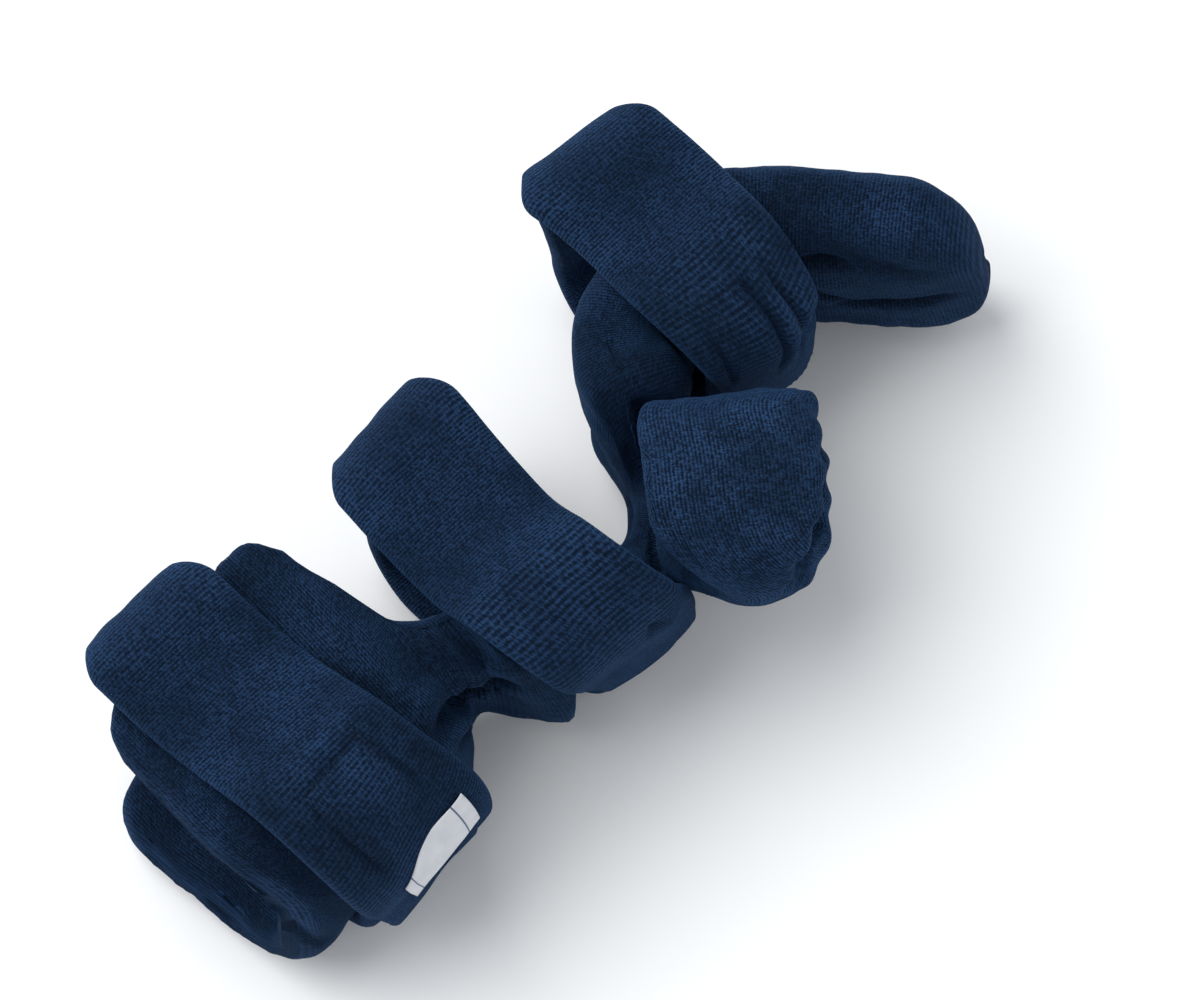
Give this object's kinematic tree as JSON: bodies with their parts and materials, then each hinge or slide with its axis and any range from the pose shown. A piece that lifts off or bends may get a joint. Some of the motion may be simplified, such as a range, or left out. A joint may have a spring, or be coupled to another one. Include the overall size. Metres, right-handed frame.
{
  "type": "thumb opposition orthosis",
  "caption": "Padded knit splint for forearm, wrist, hand and thumb: a deep trough, narrow waist, finger arch and pan, three wrap straps and an open thumb sleeve",
  "frame": {"origin": "middle of the footprint, on the surface that the straps rest on", "axes": "+X along the forearm from the elbow end to the fingers, +Y to the back of the hand, +Z to the thumb side"},
  "size_m": [0.4052, 0.1852, 0.1291],
  "materials": {
    "shell_knit": "navy ribbed terry knit over padding, matt, soft and slightly fuzzy",
    "strap_knit": "navy ribbed terry knit strap, ribs across its width, matt",
    "sleeve_knit": "navy ribbed terry knit sleeve with a gathered hem, matt",
    "woven_tag": "bare white woven tag, satin"
  },
  "bodies": {
    "root": {"padded_shell": "shell_knit", "forearm_strap": "strap_knit", "wrist_strap": "strap_knit", "hand_strap": "strap_knit", "thumb_sleeve": "sleeve_knit", "label": "woven_tag"}
  },
  "joints": []
}
